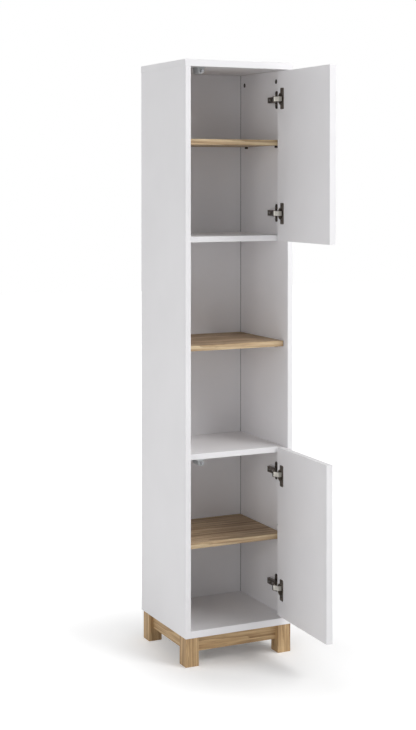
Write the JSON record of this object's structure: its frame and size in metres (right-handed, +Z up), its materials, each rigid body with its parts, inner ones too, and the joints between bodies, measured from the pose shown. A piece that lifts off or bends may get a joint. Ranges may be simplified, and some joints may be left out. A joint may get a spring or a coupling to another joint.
{
  "type": "tall bathroom cabinet",
  "caption": "Tall narrow cabinet with an upper and a lower hinged door, an open middle, wood-look shelves and a leg frame.",
  "frame": {"origin": "on the floor, at the middle of the space that the cabinet takes with both doors open", "axes": "+Z up, +X to the right as seen from the front, +Y to the back; the doors open towards -Y"},
  "size_m": [0.382, 0.6618, 1.9],
  "materials": {
    "white_board": "satin white melamine board",
    "oak": "matt oak grain",
    "beech": "plain fluted beech",
    "hinge_plate": "dull nickel",
    "hinge_steel": "bright nickel",
    "latch_body": "moulded plastic",
    "latch_tip": "grey plastic",
    "pin_steel": "nickel",
    "cam_zinc": "dark zinc",
    "screw_steel": "zinc plated"
  },
  "bodies": {
    "carcass": {"back_panel": "white_board", "base_dowels": "beech", "base_screws": "screw_steel", "bottom_panel": "white_board", "cam_bolts": "screw_steel", "cam_locks": "cam_zinc", "front_left_leg": "oak", "front_rail": "oak", "front_right_leg": "oak", "left_rail": "oak", "left_side_panel": "white_board", "lower_arm_pins": "hinge_steel", "lower_arm_screws": "screw_steel", "lower_bottom_hinge_arm": "hinge_steel", "lower_bottom_hinge_plate": "hinge_plate", "lower_divider": "white_board", "lower_latch_housing": "latch_body", "lower_latch_screws": "screw_steel", "lower_latch_spring": "screw_steel", "lower_plate_screws": "screw_steel", "lower_shelf": "oak", "lower_shelf_pins": "pin_steel", "lower_top_hinge_arm": "hinge_steel", "lower_top_hinge_plate": "hinge_plate", "middle_shelf": "oak", "middle_shelf_pins": "pin_steel", "rear_left_leg": "oak", "rear_rail": "oak", "rear_right_leg": "oak", "right_rail": "oak", "right_side_panel": "white_board", "top_panel": "white_board", "upper_arm_pins": "hinge_steel", "upper_arm_screws": "screw_steel", "upper_bottom_hinge_arm": "hinge_steel", "upper_bottom_hinge_plate": "hinge_plate", "upper_divider": "white_board", "upper_latch_housing": "latch_body", "upper_latch_screws": "screw_steel", "upper_latch_spring": "screw_steel", "upper_plate_screws": "screw_steel", "upper_shelf": "oak", "upper_shelf_pins": "pin_steel", "upper_top_hinge_arm": "hinge_steel", "upper_top_hinge_plate": "hinge_plate", "wood_dowels": "beech"},
    "upper_door": {"upper_bottom_hinge_cup": "hinge_steel", "upper_cup_screws": "screw_steel", "upper_door": "white_board", "upper_top_hinge_cup": "hinge_steel"},
    "upper_links": {"upper_hinge_links": "hinge_steel"},
    "upper_plunger": {"upper_plunger": "latch_tip"},
    "lower_door": {"lower_bottom_hinge_cup": "hinge_steel", "lower_cup_screws": "screw_steel", "lower_door": "white_board", "lower_top_hinge_cup": "hinge_steel"},
    "lower_links": {"lower_hinge_links": "hinge_steel"},
    "lower_plunger": {"lower_plunger": "latch_tip"}
  },
  "joints": [
    {"name": "upper_door_swing", "type": "hinge", "parent": "carcass", "child": "upper_door", "pos_m": [0.1587, -0.01211, 1.601], "axis": [0, 0, 1], "range_deg": [-90, 2]},
    {"name": "upper_link_turn", "type": "hinge", "parent": "carcass", "child": "upper_links", "pos_m": [0.137, 0.00689, 1.601], "axis": [0, 0, 1], "range_deg": [-1.2, 19.6]},
    {"name": "upper_plunger_push", "type": "slide", "parent": "carcass", "child": "upper_plunger", "axis": [0, 1, 0], "range_m": [-0.0006, 0.0103]},
    {"name": "lower_door_swing", "type": "hinge", "parent": "carcass", "child": "lower_door", "pos_m": [0.1587, -0.01211, 0.389], "axis": [0, 0, 1], "range_deg": [-88.3, 3.7]},
    {"name": "lower_link_turn", "type": "hinge", "parent": "carcass", "child": "lower_links", "pos_m": [0.137, 0.00689, 0.389], "axis": [0, 0, 1], "range_deg": [-1.2, 19.6]},
    {"name": "lower_plunger_push", "type": "slide", "parent": "carcass", "child": "lower_plunger", "axis": [0, 1, 0], "range_m": [-0.0006, 0.0103]}
  ],
  "couplings": [
    {"joint": "upper_link_turn", "follows": "upper_door_swing", "ratio": -0.21675},
    {"joint": "upper_plunger_push", "follows": "upper_door_swing", "m_per_rad": -0.0065571},
    {"joint": "lower_link_turn", "follows": "lower_door_swing", "ratio": -0.21675},
    {"joint": "lower_plunger_push", "follows": "lower_door_swing", "m_per_rad": -0.0066834}
  ]
}
